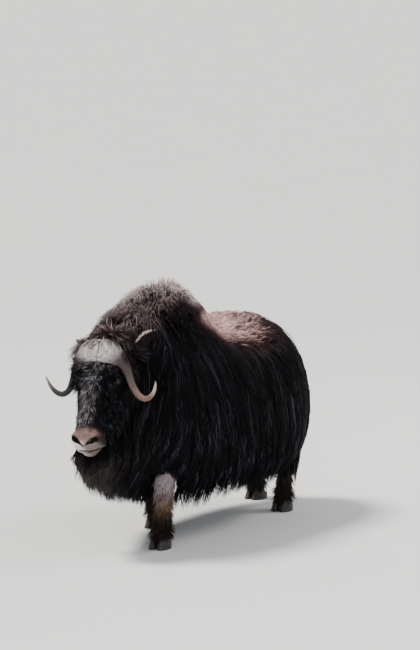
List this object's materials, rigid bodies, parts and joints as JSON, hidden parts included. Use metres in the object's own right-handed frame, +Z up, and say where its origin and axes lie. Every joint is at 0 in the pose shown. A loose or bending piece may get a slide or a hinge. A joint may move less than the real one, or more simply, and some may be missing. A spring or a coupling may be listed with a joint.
{
  "type": "muskox",
  "caption": "Standing muskox in mid-step, with a woolly shoulder hump, a long skirt of hair, drooping hooked horns and a pale saddle on its back.",
  "frame": {"origin": "middle of the overall box, on the floor under the hooves", "axes": "the animal faces -Y, +X is its left side, +Z is up"},
  "size_m": [0.762, 2.0788, 1.354],
  "materials": {
    "coat": "long dark guard hair",
    "hump": "brown wool with pale tips",
    "head": "short dark hair",
    "leg": "short pale brown hair",
    "ear": "short wool with a pale rim",
    "horn": "keratin, rough and pale at the boss, smooth towards the tip",
    "hoof": "dark keratin",
    "eye": "wet, dark brown"
  },
  "bodies": {
    "root": {"ear_left": "ear", "ear_right": "ear", "eye_left": "eye", "eye_right": "eye", "foreleg_left": "leg", "foreleg_right": "leg", "head": "head", "hindleg_left": "leg", "hindleg_right": "leg", "hoof_fore_left_inner": "hoof", "hoof_fore_left_outer": "hoof", "hoof_fore_right_inner": "hoof", "hoof_fore_right_outer": "hoof", "hoof_hind_left_inner": "hoof", "hoof_hind_left_outer": "hoof", "hoof_hind_right_inner": "hoof", "hoof_hind_right_outer": "hoof", "horn_left": "horn", "horn_right": "horn", "hump": "hump", "neck": "coat", "rump": "coat", "tail": "coat", "trunk": "coat"}
  },
  "joints": []
}
